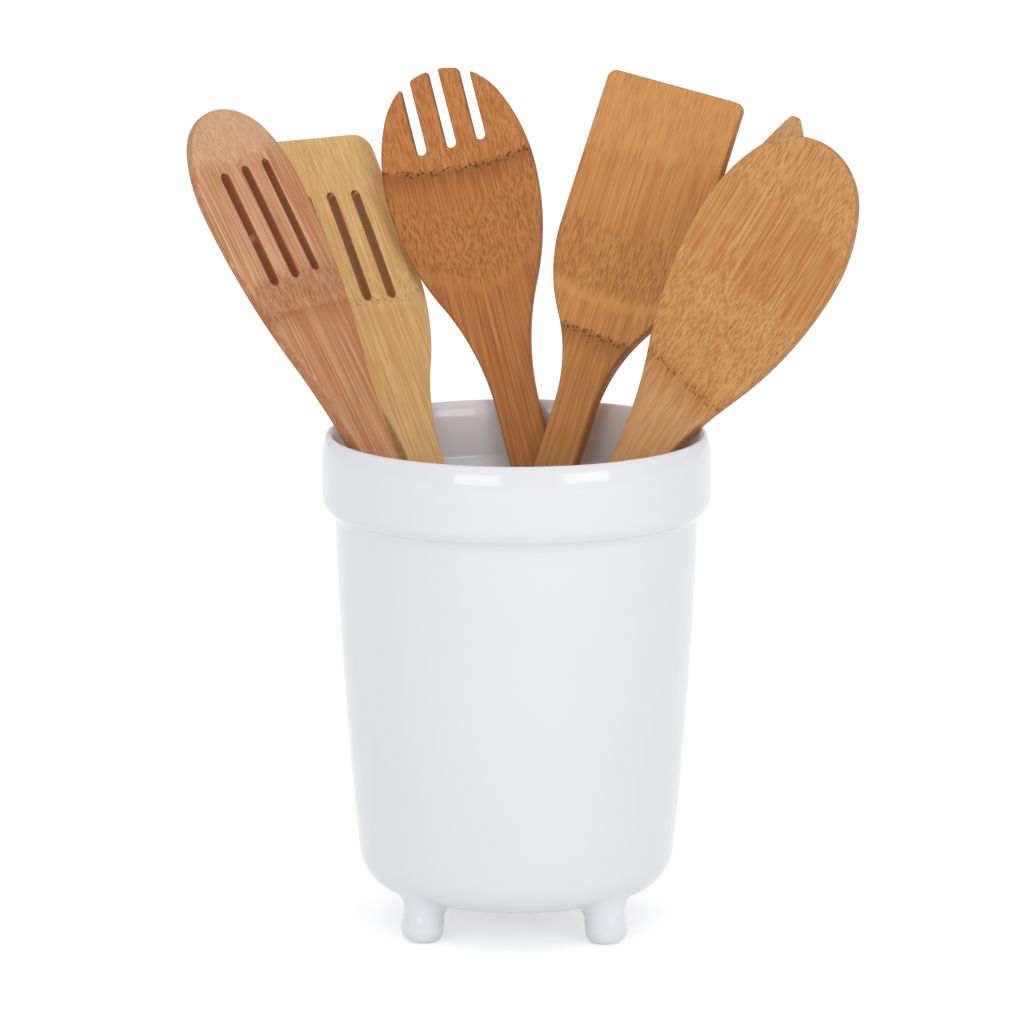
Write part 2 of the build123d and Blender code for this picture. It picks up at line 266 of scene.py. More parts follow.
def glaze_finish():
    """White gloss glaze: cool and even, with faint pooling, pinholes and a gently uneven surface."""
    glaze, pooled_glaze, pinhole_colour = paint(233, 233, 236), paint(236, 236, 239), paint(196, 192, 188)
    pinhole_share, ripple_share = 0.10, 0.12
    material = bpy.data.materials.new("white_glaze")
    material.use_nodes = True
    tree = material.node_tree
    shader = tree.nodes["Principled BSDF"]
    place = add(tree, "ShaderNodeTexCoord").outputs["Object"]
    clouds = add(tree, "ShaderNodeTexNoise", {"Vector": place, "Scale": 22.0, "Detail": 2.0}).outputs[0]
    ripple = add(tree, "ShaderNodeTexNoise", {"Vector": place, "Scale": 60.0, "Detail": 1.0}).outputs[0]
    specks = add(tree, "ShaderNodeTexVoronoi", {"Vector": place, "Scale": 260.0}).outputs["Distance"]
    pinholes = ranged(tree, specks, 0.03, 0.075, pinhole_share, 0.0)
    body = mixed(tree, clouds, glaze, pooled_glaze)
    body = mixed(tree, pinholes, body, pinhole_colour)
    tree.links.new(body, shader.inputs["Base Color"])
    tree.links.new(ranged(tree, ripple, 0.3, 0.7, 0.07, 0.13), shader.inputs["Roughness"])
    wave = sums(tree, "ADD", clouds, sums(tree, "MULTIPLY", ripple, ripple_share))
    bump = add(tree, "ShaderNodeBump", {"Height": wave, "Strength": 0.35, "Distance": 0.0006})
    tree.links.new(bump.outputs[0], shader.inputs["Normal"])
    shader.inputs["IOR"].default_value = 1.5
    shader.inputs["Coat Weight"].default_value = 0.05
    shader.inputs["Coat Roughness"].default_value = 0.04
    return material


pot = piece_from("glazed_pot", pot_corners, pot_faces)
pot.data.materials.append(glaze_finish())
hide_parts("crock")
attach(pot, "crock")

# Slotted spoon: cut from a bamboo board, with a long handle of even width and three closed slots. It
# stands with its domed back to the front, and its shallow hollow behind. The other five tools are cut
# from the same boards, rubbed round at their edges and oiled, and each keeps the place of its solid.
handle_width, handle_thickness = 0.0160, 0.0056
head_thickness, tip_thickness = 0.0050, 0.0036
edge_round, slot_edge_round, slot_taper, rubbed_width = 0.0011, 0.0005, 0.0007, 0.0003
top_reach = 0.012
hollow_width, hollow_depth, hollow_reach = 0.044, 0.0017, 0.084
back_hollow_depth, dome_radius = 0.0007, 0.220
slot_count, slot_pitch, slot_width = 3, 0.0114, 0.0039
slot_length, slot_drop = 0.044, 0.023
grid_step, handle_step, end_points, wall_points = 0.0021, 0.0026, 13, 18


def tool_place(node):
    """Matrix from a tool's own axes, across, along and out of its face, to the frame, and its length."""
    straight_reach, skew_limit = 0.1, 0.01
    joint = next(one for one in frame["record"]["behaviour"]["joints"] if one["child"] == node)
    along = Vector(joint["axis"]).normalized()
    mesh = frame["nodes"][node].data
    heights = [corner.co.dot(along) for corner in mesh.vertices]
    low, high = min(heights), max(heights)
    handle = [face for face in mesh.polygons if face.center.dot(along) < (low + high) / 2]
    flat = max(handle, key=lambda face: face.area if abs(face.normal.dot(along)) < skew_limit else 0)
    out = (flat.normal - along * flat.normal.dot(along)).normalized()
    out = -out if out.y > 0 else out
    across = along.cross(out)
    near = [corner.co for corner in mesh.vertices if corner.co.dot(along) < low + straight_reach]
    middles = [(min(c.dot(way) for c in near) + max(c.dot(way) for c in near)) / 2 for way in (across, out)]
    origin = across * middles[0] + out * middles[1] + along * low
    turn = Matrix((across, along, out)).transposed().to_4x4()
    return Matrix.Translation(origin) @ turn, high - low


def tool_length(node):
    """Length of a tool along its own axis."""
    return tool_place(node)[1]


def arc(start, way, end, steps):
    """Points of the arc that leaves start along way and ends at end, without its first point."""
    start, way, end = np.array(start), np.array(way, float), np.array(end)
    chord = end - start
    lean = np.arctan2(way[0] * chord[1] - way[1] * chord[0], way @ chord)
    points = []
    for share in np.linspace(0, 1, steps + 1)[1:]:
        swing = lean * share
        reach = share if abs(lean) < 1e-6 else sin(swing) / sin(lean)
        turned_way = np.array(
            [way[0] * cos(swing) - way[1] * sin(swing), way[0] * sin(swing) + way[1] * cos(swing)]
        )
        points.append(start + turned_way * reach * np.hypot(*chord) / np.hypot(*way))
    return points


def ease(start, start_way, end, end_way, steps):
    """Points of two tangent arcs from start along start_way to end along end_way."""
    start, start_way, end, end_way = (np.array(one, float) for one in (start, start_way, end, end_way))
    chord = end - start
    spread = 2 - 2 * start_way @ end_way
    if spread > 1e-9:
        along = chord @ (start_way + end_way)
        reach = (sqrt(along**2 + spread * (chord @ chord)) - along) / spread
    else:
        reach = (chord @ chord) / (4 * chord @ end_way)
    meet = (start + end) / 2 + (start_way - end_way) * reach / 2
    first = arc(start, start_way, meet, steps)
    back = arc(end, -end_way, meet, steps)
    return first + back[::-1][1:] + [end]


def half_handle(neck):
    """Right half of a handle's outline, from its round lower end up to the neck."""
    half = handle_width / 2
    low = [np.array([half * sin(a), half - half * cos(a)]) for a in np.linspace(0, pi / 2, end_points)]
    rise = np.linspace(half, neck, int((neck - half) / handle_step) + 1)[1:]
    return low + [np.array([half, height]) for height in rise]


def mirrored(right):
    """Closed outline from its right half, which starts and ends on the middle line."""
    left = [np.array([-point[0], point[1]]) for point in right[-2:0:-1]]
    return np.array(right + left)


def spoon_outline(length, width, neck, widest, tip_angle=0.0, tip_round=0.0):
    """A spoon seen from the front. A tip angle gives it a blunt point in place of a round tip."""
    tip_way = (-cos(tip_angle), sin(tip_angle))
    tip = (tip_round * sin(tip_angle), length - tip_round + tip_round * cos(tip_angle))
    right = half_handle(neck)
    right += ease((handle_width / 2, neck), (0, 1), (width / 2, widest), (0, 1), steps=26)
    right += ease((width / 2, widest), (0, 1), tip, tip_way, steps=24)
    if tip_round:
        right += arc(tip, tip_way, (0, length), steps=6)
    return mirrored(right)


def slot_places():
    """Where the slots lie across a tool, from left to right."""
    return [(number - (slot_count - 1) / 2) * slot_pitch for number in range(slot_count)]


def closed_slots(length):
    """Outlines of a tool's closed slots, which have round ends."""
    middle = length - slot_drop - slot_length / 2
    half, straight = slot_width / 2, (slot_length - slot_width) / 2
    loops = []
    for place in slot_places():
        points = []
        for end in (1, -1):
            for swing in np.linspace(0, pi, end_points):
                rise = end * (straight + half * sin(swing))
                points.append((place + end * half * cos(swing), middle + rise))
            for rise in np.linspace(end, -end, wall_points)[1:-1]:
                points.append((place - end * half, middle + rise * straight))
        loops.append(np.array(points)[::-1])
    return loops


def beside_slot(points, above):
    """Whether each point lies on a slot's wall and higher up the tool than above."""
    margin = 0.0006
    aside = np.abs(points[:, :1] - np.array(slot_places())).min(axis=1)
    return (aside < slot_width / 2 + margin) & (points[:, 1] > above)


def inside_of(points, loops):
    """Whether each point lies in the wood: in the outline and in none of the slots."""
    crossings = np.zeros(len(points), int)
    for loop in loops:
        here, after = loop, np.roll(loop, -1, axis=0)
        x, y = points[:, :1], points[:, 1:]
        spans = (here[:, 1] > y) != (after[:, 1] > y)
        rise = np.where(after[:, 1] == here[:, 1], 1e-12, after[:, 1] - here[:, 1])
        meets = here[:, 0] + (y - here[:, 1]) * (after[:, 0] - here[:, 0]) / rise
        crossings += (spans & (x < meets)).sum(axis=1)
    return crossings % 2 == 1


def filled(loops, step):
    """Even triangles that fill the outline less the slots, as points and faces. Loop points come first."""
    row_share, rim_share = 0.866, 0.62
    rim = np.vstack(loops)
    low, high = rim.min(axis=0), rim.max(axis=0)
    grid = []
    for row, y in enumerate(np.arange(low[1], high[1], step * row_share)):
        shift = (row % 2) * step / 2
        grid += [(x + shift, y) for x in np.arange(low[0], high[0], step)]
    grid = np.array(grid)
    grid = grid[inside_of(grid, loops)]
    far = np.array([np.hypot(*(rim - point).T).min() > rim_share * step for point in grid])
    points = np.vstack([rim, grid[far]])
    edges, first = [], 0
    for loop in loops:
        count = len(loop)
        edges += [(first + k, first + (k + 1) % count) for k in range(count)]
        first += count
    found = delaunay_2d_cdt([Vector(point) for point in points * 1000], edges, [], 0, 1e-6)
    places, faces, sources = found[0], np.array(found[2]), found[3]
    strays = [tuple(place) for place, source in zip(places, sources) if not source]
    if strays:
        raise ValueError("an outline crosses itself near %s" % strays[:3])
    which = np.array([source[0] for source in sources])
    centres = np.array([[places[k][:] for k in face] for face in found[2]]).mean(axis=1) / 1000
    return points, which[faces[inside_of(centres, loops)]]


def edge_rounds(loop, widest_round):
    """How far the rounding of an edge reaches in at each point: less where the loop turns sharply."""
    straight, tight_share, spread_steps, smooth_steps = 0.01, 0.55, 4, 3
    after, before = np.roll(loop, -1, axis=0) - loop, loop - np.roll(loop, 1, axis=0)
    turn = np.arctan2(before[:, 0] * after[:, 1] - before[:, 1] * after[:, 0], (before * after).sum(axis=1))
    run = (np.hypot(*after.T) + np.hypot(*before.T)) / 2
    tight = tight_share * run / np.maximum(turn, straight)
    rounds = np.minimum(widest_round, np.where(turn > straight, tight, edge_round))
    for step in range(spread_steps):
        rounds = np.minimum(rounds, np.minimum(np.roll(rounds, 1), np.roll(rounds, -1)))
    for step in range(smooth_steps):
        rounds = (rounds + np.roll(rounds, 1) + np.roll(rounds, -1)) / 3
    return rounds


def board(outline, slots, front, back, crisp_above):
    """Corners (across, along, out) and faces of a board with round edges, and how near each is to an edge.
    Slots, and an outline's inner walls above crisp_above, keep crisper edges. Slots narrow to the back."""
    # The edge marks set how much painted shade each edge gets: most on slot and tine walls, less on the
    # outline's rounded edges.
    rim_mark, wall_mark, round_points = 0.62, 1.0, 6
    loops = [outline] + slots
    walls = [beside_slot(outline, crisp_above)] + [np.full(len(slot), True) for slot in slots]
    corners, faces, edge_marks = [], [], []
    inset_loops, first_rings, last_rings = [], [], []
    turns = np.linspace(0, pi / 2, round_points)
    for loop, wall in zip(loops, walls):
        ways = np.roll(loop, -1, axis=0) - np.roll(loop, 1, axis=0)
        ways = ways / np.hypot(*ways.T)[:, None]
        outward = np.stack([ways[:, 1], -ways[:, 0]], axis=1)
        rounds = edge_rounds(loop, np.where(wall, slot_edge_round, edge_round))
        narrowing = 0.0 if loop is outline else slot_taper
        rings = []
        for side, swings in ((1, turns), (-1, turns[::-1])):
            for swing in swings:
                inset = loop - outward * rounds[:, None] * (1 - sin(swing))
                inset = inset if side > 0 else inset + outward * narrowing
                face = front if side > 0 else back
                out = face(inset[:, 0], inset[:, 1]) - side * rounds * (1 - cos(swing))
                rings.append(list(range(len(corners), len(corners) + len(loop))))
                corners += [(*place, height) for place, height in zip(inset, out)]
                edge_marks += list(np.where(wall, wall_mark, rim_mark) * sin(swing))
                if swing == 0 and side > 0:
                    inset_loops.append(inset)
        for high, low in zip(rings, rings[1:]):
            for k in range(len(loop)):
                after = (k + 1) % len(loop)
                faces.append([high[k], low[k], low[after], high[after]])
        first_rings += rings[0]
        last_rings += rings[-1]
    points, cells = filled(inset_loops, grid_step)
    rim_count = len(first_rings)
    for side, rim, face in ((1, first_rings, front), (-1, last_rings, back)):
        heights = face(points[:, 0], points[:, 1])
        start = len(corners) - rim_count
        corners += [(*points[k], heights[k]) for k in range(rim_count, len(points))]
        edge_marks += [0.0] * (len(points) - rim_count)
        for cell in cells:
            picked = [rim[k] if k < rim_count else start + k for k in cell]
            faces.append(picked if side > 0 else picked[::-1])
    return corners, faces, edge_marks


def carved_zone(tree, down, arch, ragged, start, end, slope, marks, bulge=0.0, rim=0.0, lift=0.0):
    """One zone carved across the fibres: how far its floor climbs, and its shares of dashes, paler wood,
    browner wood and pale rim. Its ends curve by its bulge, and a lift below 0 makes it browner."""
    fade_in, fade_out, rim_fade = (-3.0, 6.0), (-5.0, 2.0), (0.5, 3.5)
    rim_drop = 1.5
    reach = sums(tree, "ADD", down, sums(tree, "MULTIPLY", arch, bulge))
    climb = ranged(tree, reach, start, end, 0.0, (end - start) * slope, smooth=False)
    reach = sums(tree, "ADD", reach, ragged)
    into = ranged(tree, reach, start + fade_in[0], start + fade_in[1])
    leaving = ranged(tree, reach, end + fade_out[0], end + fade_out[1], 1.0, 0.0)
    within = sums(tree, "MULTIPLY", into, leaving)
    shares = [sums(tree, "MULTIPLY", within, most) for most in (marks, max(lift, 0.0), max(-lift, 0.0))]
    from_rim = sums(tree, "ABSOLUTE", sums(tree, "SUBTRACT", reach, end + rim_drop))
    return climb, shares + [ranged(tree, from_rim, *rim_fade, rim, 0.0)]


def bamboo_finish(name, light, dark, speck_and_shade, offset, zones, node, handle=None):
    """Oiled bamboo, in mm down from the tip. Its fibres run along the board, show as dashes in the zones
    where it was carved across them, and end in a row of dots and a brown shade at its node."""
    # Colours of the node's dots and of the darkest painted shade on the edges.
    dot_colour, edge_shade_colour = paint(96, 50, 20), paint(112, 58, 24)
    arch_half, ragged_reach, board_slope, node_fade = 25.0, 9.0, 0.010, 11.0
    material = bpy.data.materials.new(name)
    material.use_nodes = True
    tree = material.node_tree
    shader = tree.nodes["Principled BSDF"]
    grain = add(tree, "ShaderNodeAttribute", attribute_name="grain").outputs["Vector"]
    edge = add(tree, "ShaderNodeAttribute", attribute_name="edge").outputs["Fac"]
    axes = add(tree, "ShaderNodeSeparateXYZ", {0: grain})
    across, down, out = axes.outputs[0], axes.outputs[1], axes.outputs[2]

    def blurred(wide, long, detail, vector=grain):
        """Noise of so many spots to a mm, across the board and along it."""
        shift = (offset, offset * 1.7, offset * 0.6)
        sockets = {"Vector": vector, "Location": shift, "Scale": (wide, long, wide)}
        place = add(tree, "ShaderNodeMapping", sockets).outputs[0]
        return add(tree, "ShaderNodeTexNoise", {"Vector": place, "Scale": 1.0, "Detail": detail}).outputs[0]

    # The wood is a solid block. Each zone is cut into it at a slope, and there its fibres show their ends.
    mottle = blurred(0.14, 0.09, detail=3.0)
    arch = sums(tree, "MULTIPLY", across, sums(tree, "MULTIPLY", across, 1 / arch_half**2))
    ragged = sums(tree, "SUBTRACT", blurred(0.7, 0.10, detail=2.0), 0.5)
    ragged = sums(tree, "MULTIPLY", ragged, ragged_reach)
    depth = sums(tree, "ADD", out, sums(tree, "MULTIPLY", down, board_slope))
    shares = [0.0, 0.0, 0.0, 0.0]
    for zone in zones:
        climb, found = carved_zone(tree, down, arch, ragged, **zone)
        depth = sums(tree, "ADD", depth, climb)
        shares = [sums(tree, "MAXIMUM", before, share) for before, share in zip(shares, found)]
    carved, lit, shaded, rims = shares
    solid = add(tree, "ShaderNodeCombineXYZ", {0: across, 1: down, 2: depth}).outputs[0]

    # Fibres pale and dark, wide bands and blotches, then the dashes and the pale rims of the zones.
    bands = blurred(0.14, 0.004, 2.0, solid)
    streaks = blurred(1.05, 0.008, 3.0, solid)
    fibres = blurred(3.0, 0.020, 2.0, solid)
    sockets = {"Vector": solid, "Location": (offset, 0, offset), "Scale": (1.85, 0.034, 1.85)}
    place = add(tree, "ShaderNodeMapping", sockets).outputs[0]
    bundles = add(tree, "ShaderNodeTexVoronoi", {"Vector": place, "Scale": 1.0}).outputs["Distance"]

    tone = sums(tree, "ADD", sums(tree, "MULTIPLY", streaks, 0.50), sums(tree, "MULTIPLY", fibres, 0.50))
    body = mixed(tree, ranged(tree, tone, 0.42, 0.58), light, dark)
    body = mixed(tree, ranged(tree, bands, 0.35, 0.68, 0.0, 0.40), body, dark)
    body = mixed(tree, ranged(tree, mottle, 0.40, 0.70, 0.0, 0.22), body, dark)
    body = mixed(tree, lit, body, light)
    body = mixed(tree, shaded, body, speck_and_shade)
    pale = sums(tree, "MULTIPLY", ranged(tree, bundles, 0.45, 0.75, 0.0, 0.45), carved)
    body = mixed(tree, pale, body, light)
    dash_share = ranged(tree, carved, 0.0, 1.0, 0.26, 0.54)
    dashes = sums(tree, "MULTIPLY", ranged(tree, bundles, 0.20, 0.54, 1.0, 0.0), dash_share)
    body = mixed(tree, dashes, body, speck_and_shade)
    body = mixed(tree, rims, body, light)

    # The node: a brown shade that starts sharp and fades towards the handle, and a row of dots.
    to_node = sums(tree, "ADD", down, sums(tree, "MULTIPLY", arch, node["bow"]))
    to_node = sums(tree, "SUBTRACT", to_node, sums(tree, "MULTIPLY", across, node["slope"]))
    past = sums(tree, "SUBTRACT", to_node, node["at"])
    shade = ranged(tree, sums(tree, "ADD", past, ragged), 0.0, node_fade, node["shade"], 0.0)
    shade = sums(tree, "MULTIPLY", shade, ranged(tree, past, -1.4, 0.4))
    body = mixed(tree, shade, body, speck_and_shade)
    body = mixed(tree, ranged(tree, past, -2.0, 14.0, 0.0, node["handle"]), body, handle or speck_and_shade)
    row = add(tree, "ShaderNodeCombineXYZ", {0: across, 1: past, 2: offset}).outputs[0]
    row = add(tree, "ShaderNodeTexVoronoi", {"Vector": row, "Scale": 0.72}).outputs["Distance"]
    beside = ranged(tree, sums(tree, "ABSOLUTE", past), 0.8, 2.0, node["dots"], 0.0)
    dots = sums(tree, "MULTIPLY", ranged(tree, row, 0.24, 0.52, 1.0, 0.0), beside)
    body = mixed(tree, dots, body, dot_colour)

    # Painted shade: the rounded edges, and most of all the slot and tine walls, are painted darker. The
    # fibres stand up a little in the surface.
    body = mixed(tree, ranged(tree, edge, 0.25, 1.0, 0.0, 0.80), body, speck_and_shade)
    body = mixed(tree, ranged(tree, edge, 0.66, 1.0, 0.0, 0.35), body, edge_shade_colour)
    tree.links.new(body, shader.inputs["Base Color"])
    tree.links.new(ranged(tree, fibres, 0.3, 0.7, 0.42, 0.58), shader.inputs["Roughness"])
    relief = sums(tree, "SUBTRACT", tone, sums(tree, "ADD", dots, sums(tree, "MULTIPLY", dashes, 0.6)))
    bump = add(tree, "ShaderNodeBump", {"Height": relief, "Strength": 0.30, "Distance": 0.00025})
    tree.links.new(bump.outputs[0], shader.inputs["Normal"])
    shader.inputs["Specular IOR Level"].default_value = 0.25
    return material


def scoop(length, head_drop, depth):
    """Surface of a hollow: how far it lies in front of a tool's middle plane, across and along it."""
    bottom = head_thickness / 2 - head_drop - depth
    middle, half = length + (top_reach - hollow_reach) / 2, (hollow_reach + top_reach) / 2
    sphere = (hollow_width**2 / 4 + depth**2) / (2 * depth)

    def surface(across, along):
        run = (along - middle) / half
        return bottom + (handle_thickness / 2 - bottom) * run**2 + across**2 / (2 * sphere)

    return surface


def uncut(across, along):
    """Surface that lies so far in front that it cuts nothing away."""
    return 1.0 + 0 * across


def lower_of(plain, cut):
    """The lower of two surfaces, with the corner between them rubbed a little."""
    share = np.clip(0.5 + (plain - cut) / rubbed_width, 0, 1)
    return plain + (cut - plain) * share - rubbed_width / 2 * share * (1 - share)


def make_tool(
    node, outline, neck, middle, drops, finish, slots=(), front_cut=uncut, back_cut=uncut, crisp_above=None
):
    """A bamboo tool on the place of its solid. It thins from its neck to the middle of its head, and on
    to its tip. The drops say how far the head and the tip lie back."""
    place, length = tool_place(node)
    head_drop, tip_drop = drops

    def course(along, handle_value, head_value, tip_value):
        """A value that eases from the handle's to the head's past the neck, and then to the tip's."""
        s = np.clip((along - neck) / (middle - neck), 0, 1)
        rise = np.where(s < 0.5, 2 * s**2, 1 - 2 * (1 - s) ** 2)
        end = np.clip((along - middle) / (length + top_reach - middle), 0, 1) ** 2
        return handle_value + (head_value - handle_value) * rise + (tip_value - head_value) * end

    def half_of(along):
        return course(along, handle_thickness / 2, head_thickness / 2, tip_thickness / 2)

    def front(across, along):
        return lower_of(half_of(along) + course(along, 0.0, -head_drop, -tip_drop), front_cut(across, along))

    def back(across, along):
        return -lower_of(half_of(along) - course(along, 0.0, -head_drop, -tip_drop), back_cut(across, along))

    corners, faces, edges = board(outline, list(slots), front, back, crisp_above or length)
    tool = piece_from(node + "_bamboo", [place @ Vector(corner) for corner in corners], faces)
    welded = np.array([(place.inverted() @ corner.co)[:] for corner in tool.data.vertices])
    edge_of = {tuple(np.round(c, 6)): e for c, e in zip(np.array(corners), edges)}
    grain = tool.data.attributes.new("grain", "FLOAT_VECTOR", "POINT")
    grain.data.foreach_set("vector", ((welded * (1, -1, 1) + (0, length, 0)) * 1000).ravel())
    edge = tool.data.attributes.new("edge", "FLOAT", "POINT")
    edge.data.foreach_set("value", [edge_of.get(tuple(np.round(c, 6)), 0.0) for c in welded])
    tool.data.materials.append(finish)
    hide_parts(node)
    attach(tool, node)


length = tool_length("slotted_spoon")
head_width, neck, widest = 0.0524, length - 0.155, length - 0.035
head_drop, tip_drop = -0.0009, 0.0017


def dome(across, along):
    """Surface of the spoon's back, which falls away to both sides."""
    return head_thickness / 2 - head_drop - across**2 / (2 * dome_radius)


make_tool(
    "slotted_spoon",
    outline=spoon_outline(length, head_width, neck, widest),
    slots=closed_slots(length),
    neck=neck,
    middle=widest,
    drops=(head_drop, tip_drop),
    front_cut=dome,
    back_cut=scoop(length, -head_drop, back_hollow_depth),
    finish=bamboo_finish(
        "slotted_spoon_bamboo",
        light=paint(226, 182, 142),
        dark=paint(196, 130, 84),
        speck_and_shade=paint(157, 92, 52),
        offset=3.1,
        zones=[
            dict(start=-4.0, end=22.0, bulge=4.0, slope=0.13, marks=0.35, lift=0.60),
            dict(start=62.0, end=79.0, bulge=-2.0, slope=0.12, marks=0.6, lift=-0.42),
        ],
        node=dict(at=79.0, slope=0.10, bow=0.0, dots=0.25, shade=0.34, handle=0.12),
    ),
)


# Slotted turner: a flat bamboo blade with straight sides, a square end, rounded corners and the same
# three closed slots. It is sawn from a paler board and stands behind the slotted spoon.
def turner_outline(length, width, neck, shoulder, corner_round):
    """A turner seen from the front."""
    side_points, corner_points, top_points = 24, 10, 12
    half, side_top = width / 2, length - corner_round
    right = half_handle(neck)
    right += ease((handle_width / 2, neck), (0, 1), (half, shoulder), (0, 1), steps=24)
    right += [np.array([half, rise]) for rise in np.linspace(shoulder, side_top, side_points)[1:]]
    for swing in np.linspace(0, pi / 2, corner_points)[1:]:
        inward, upward = corner_round * (1 - cos(swing)), corner_round * sin(swing)
        right.append(np.array([half - inward, side_top + upward]))
    for share in np.linspace(1, 0, top_points)[1:]:
        right.append(np.array([share * (half - corner_round), length]))
    return mirrored(right)


length = tool_length("slotted_turner")
head_width, neck, shoulder, corner_round = 0.0554, length - 0.135, length - 0.055, 0.0070
head_drop, tip_drop = 0.0004, 0.0016
make_tool(
    "slotted_turner",
    outline=turner_outline(length, head_width, neck, shoulder, corner_round),
    slots=closed_slots(length),
    neck=neck,
    middle=shoulder,
    drops=(head_drop, tip_drop),
    finish=bamboo_finish(
        "slotted_turner_bamboo",
        light=paint(242, 204, 144),
        dark=paint(222, 174, 110),
        speck_and_shade=paint(182, 124, 72),
        offset=11.7,
        zones=[dict(start=56.0, end=67.0, slope=0.15, marks=0.5, rim=0.25, lift=0.10)],
        node=dict(at=67.5, slope=0.0, bow=0.0, dots=0.35, shade=0.06, handle=0.0),
    ),
)

# Fork spoon: a bamboo spoon whose three slots are sawn out through the tip of its hollow head, which
# leaves four tines. Their tips are rounded a little, and the walls between them stay crisp.
tine_length, tine_round, wall_drop = 0.030, 0.0010, 0.002


def fork_outline(length, width, neck, widest):
    """The fork spoon seen from the front, round its four tines."""
    corner_points, tine_points, tip_points, corner_gap = 9, 20, 4, 0.0005
    plain = spoon_outline(length, width, neck, widest)
    turn = next(k for k in range(len(plain)) if plain[k][1] > widest)
    back = next(k for k in range(turn, len(plain)) if plain[k][1] < widest)
    crown = plain[turn:back]
    half, bottom = slot_width / 2, length - tine_length + slot_width / 2

    def rim(across):
        """Height of the plain spoon's rim at a place across it."""
        return np.interp(across, crown[::-1, 0], crown[::-1, 1])

    def corner(edge, way):
        """Rounded corner of a tine whose wood lies on one side of a slot's edge, from the slot out."""
        swings = np.linspace(0, pi / 2, corner_points)
        places = [(edge + way * tine_round * (1 - cos(a)), tine_round * (1 - sin(a))) for a in swings]
        return [(x, rim(x) - dip) for x, dip in places]

    edges = [(place + half, place - half) for place in slot_places()[::-1]]
    first_tine, last_tine = edges[0][0] + tine_round + corner_gap, edges[-1][1] - tine_round - corner_gap
    points = [tuple(point) for point in crown if point[0] > first_tine]
    for number, (right, left) in enumerate(edges):
        wall = np.linspace(rim(right) - tine_round, bottom, tine_points)[1:]
        points += corner(right, 1)[::-1] + [(right, y) for y in wall]
        swings = np.linspace(0, pi, end_points)[1:-1]
        points += [(right - half + half * cos(a), bottom - half * sin(a)) for a in swings]
        wall = np.linspace(bottom, rim(left) - tine_round, tine_points)[:-1]
        points += [(left, y) for y in wall] + corner(left, -1)
        if number < len(edges) - 1:
            tip = np.linspace(left - tine_round, edges[number + 1][0] + tine_round, tip_points)[1:-1]
            points += [(x, rim(x)) for x in tip]
    points += [tuple(point) for point in crown if point[0] < last_tine]
    return np.array([*map(tuple, plain[:turn]), *points, *map(tuple, plain[back:])])


length = tool_length("fork_spoon")
head_width, neck, widest = 0.057, length - 0.130, length - 0.043
head_drop, tip_drop = -0.0010, 0.0005
make_tool(
    "fork_spoon",
    outline=fork_outline(length, head_width, neck, widest),
    neck=neck,
    middle=widest,
    drops=(head_drop, tip_drop),
    front_cut=scoop(length, head_drop, hollow_depth),
    crisp_above=length - tine_length - wall_drop,
    finish=bamboo_finish(
        "fork_spoon_bamboo",
        light=paint(210, 142, 78),
        dark=paint(180, 109, 52),
        speck_and_shade=paint(126, 66, 27),
        offset=23.9,
        zones=[
            dict(start=-4.0, end=37.0, bulge=2.2, slope=0.11, marks=0.6, lift=0.30),
            dict(start=52.0, end=81.0, bulge=11.0, slope=0.15, marks=1.0, rim=0.45, lift=0.15),
        ],
        node=dict(at=38.5, slope=0.079, bow=2.2, dots=0.90, shade=0.50, handle=0.10),
    ),
)

# Turner: a flat bamboo blade, left whole, with a square end whose corners are crisper than the slotted
# turner's. It was cut across its fibres where it narrows to the handle, and its node lies just below.
length = tool_length("turner")
head_width, neck, shoulder, corner_round = 0.057, length - 0.124, length - 0.059, 0.0035
head_drop, tip_drop = 0.0005, 0.0008
make_tool(
    "turner",
    outline=turner_outline(length, head_width, neck, shoulder, corner_round),
    neck=neck,
    middle=shoulder,
    drops=(head_drop, tip_drop),
    finish=bamboo_finish(
        "turner_bamboo",
        light=paint(227, 165, 98),
        dark=paint(200, 132, 71),
        speck_and_shade=paint(144, 82, 37),
        offset=37.3,
        zones=[
            dict(start=-6.0, end=30.0, slope=0.04, marks=0.2, lift=0.50),
            dict(start=56.0, end=82.0, bulge=3.0, slope=0.12, marks=0.7, rim=0.50, lift=-0.20),
        ],
        node=dict(at=96.2, slope=0.06, bow=0.0, dots=0.85, shade=0.58, handle=0.24),
    ),
)

# Spoon: the widest bamboo head of the six, carved hollow nearly to its rim, with a paler handle below
# its node. It stands in front of the pointed spoon.
length = tool_length("spoon")
head_width, neck, widest = 0.0616, length - 0.150, length - 0.043
head_drop, tip_drop = 0.0022, 0.0010
make_tool(
    "spoon",
    outline=spoon_outline(length, head_width, neck, widest),
    neck=neck,
    middle=widest,
    drops=(head_drop, tip_drop),
    front_cut=scoop(length, head_drop, hollow_depth),
    finish=bamboo_finish(
        "spoon_bamboo",
        light=paint(223, 169, 108),
        dark=paint(192, 124, 61),
        speck_and_shade=paint(146, 88, 44),
        handle=paint(240, 194, 140),
        offset=51.1,
        zones=[
            dict(start=-6.0, end=27.0, bulge=-3.0, slope=0.16, marks=0.75, lift=0.35),
            dict(start=61.0, end=97.0, bulge=3.0, slope=0.14, marks=0.75, lift=0.30),
        ],
        node=dict(at=98.8, slope=0.11, bow=0.0, dots=0.55, shade=0.14, handle=0.30),
    ),
)

